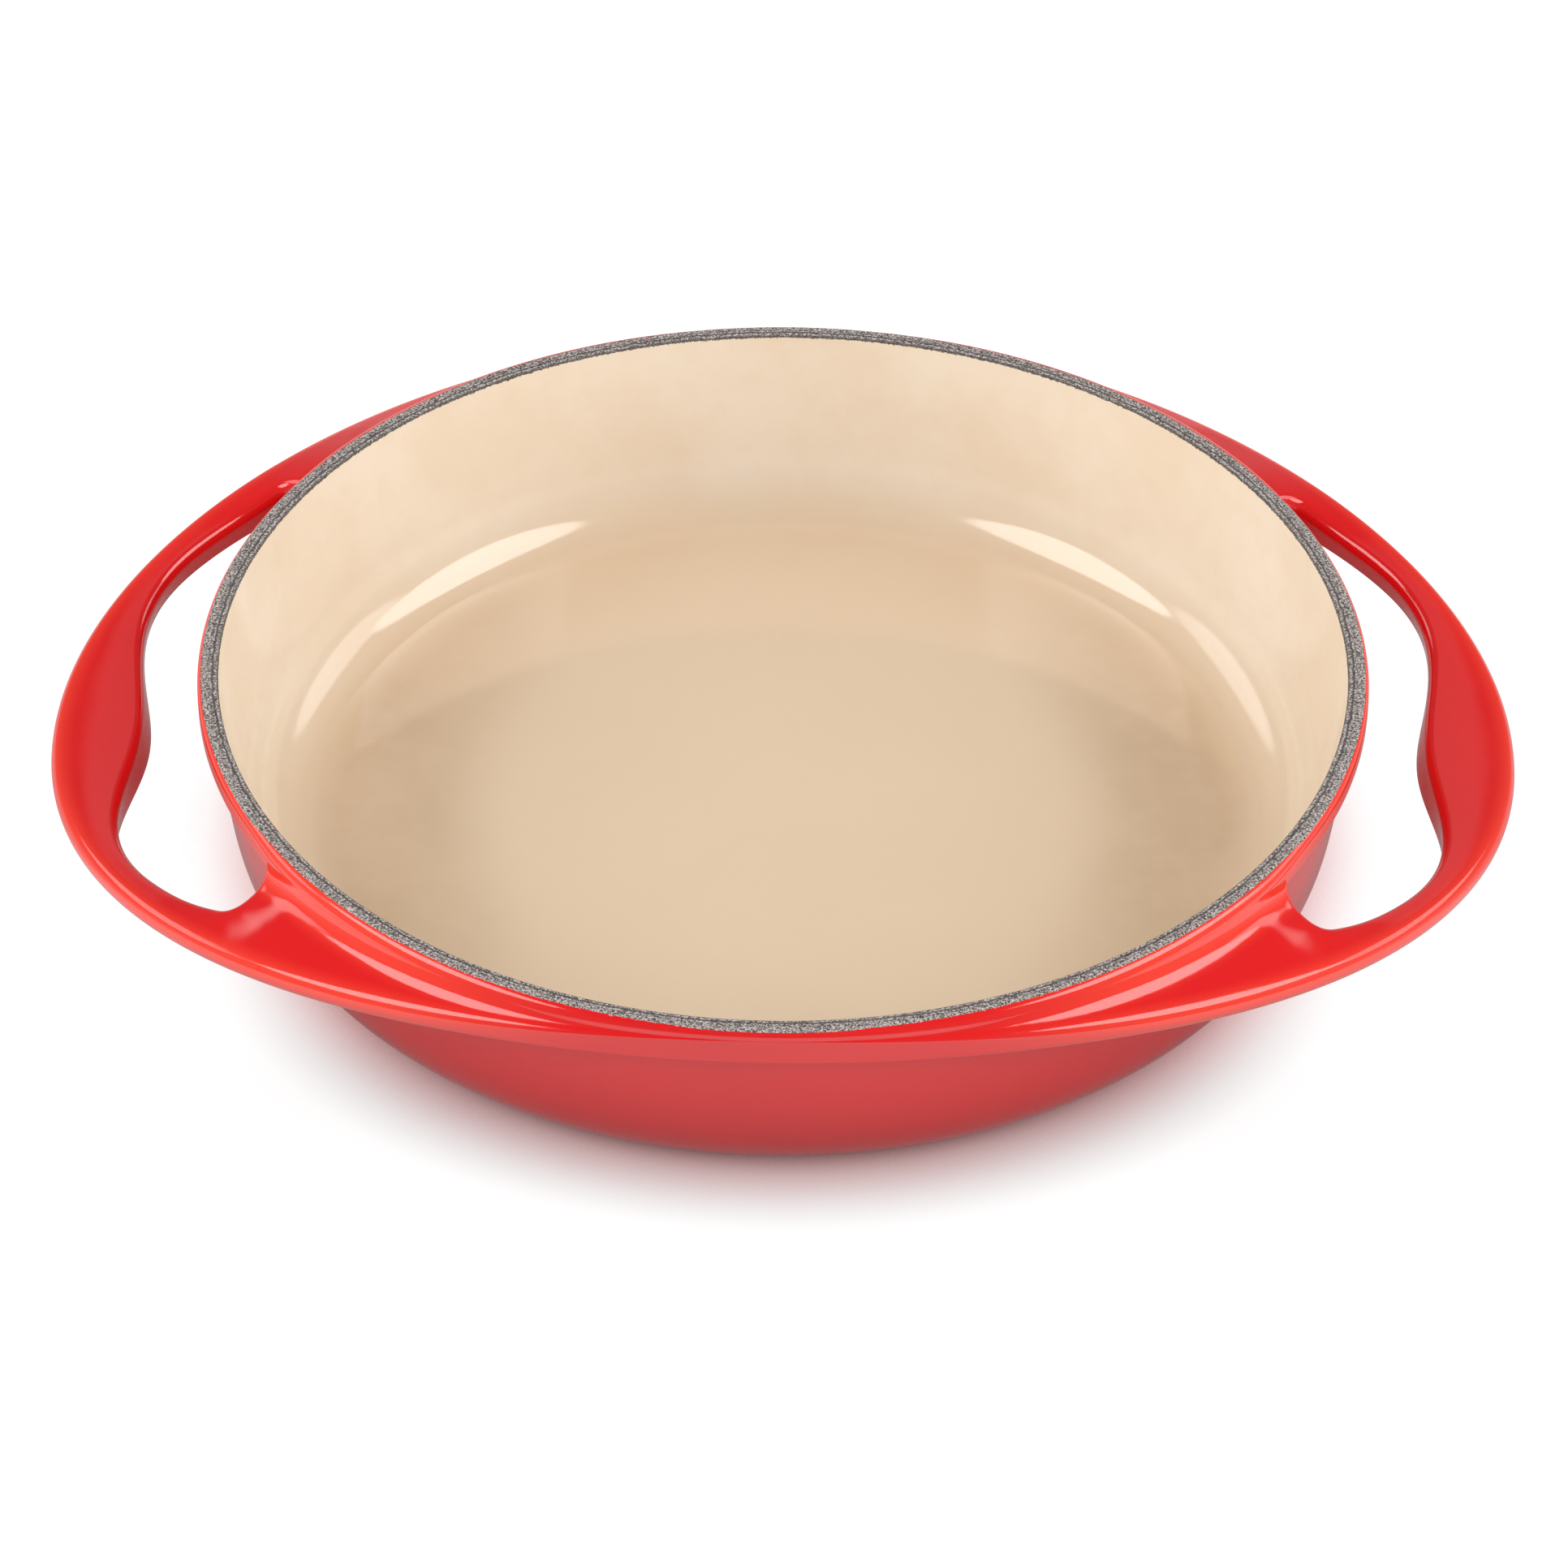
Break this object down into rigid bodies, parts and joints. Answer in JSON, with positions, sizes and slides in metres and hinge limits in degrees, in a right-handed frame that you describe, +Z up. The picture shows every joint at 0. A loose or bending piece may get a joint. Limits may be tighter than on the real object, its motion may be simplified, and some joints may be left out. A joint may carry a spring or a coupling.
{
  "type": "tarte tatin dish",
  "caption": "Shallow round enamelled cast-iron baking dish with flared sides, a rolled rim and a wide looped handle on each side.",
  "frame": {"origin": "on the table, under the middle of the bowl", "axes": "+X through the two handles, +Z up"},
  "size_m": [0.3264, 0.2592, 0.0484],
  "materials": {
    "iron": "rough sand-cast grey iron, wholly covered",
    "exterior_enamel": "high-gloss translucent red enamel",
    "interior_enamel": "glossy sand-coloured enamel",
    "rim_ground_coat": "matte, speckled and slightly pitted ground coat",
    "foot_ground_coat": "matte dark ground coat, slightly worn",
    "underside_enamel": "glossy red enamel"
  },
  "bodies": {
    "root": {"iron_casting": "iron", "exterior_enamel": "exterior_enamel", "interior_enamel": "interior_enamel", "rim_ground_coat": "rim_ground_coat", "foot_ground_coat": "foot_ground_coat", "underside_enamel": "underside_enamel"}
  },
  "joints": []
}
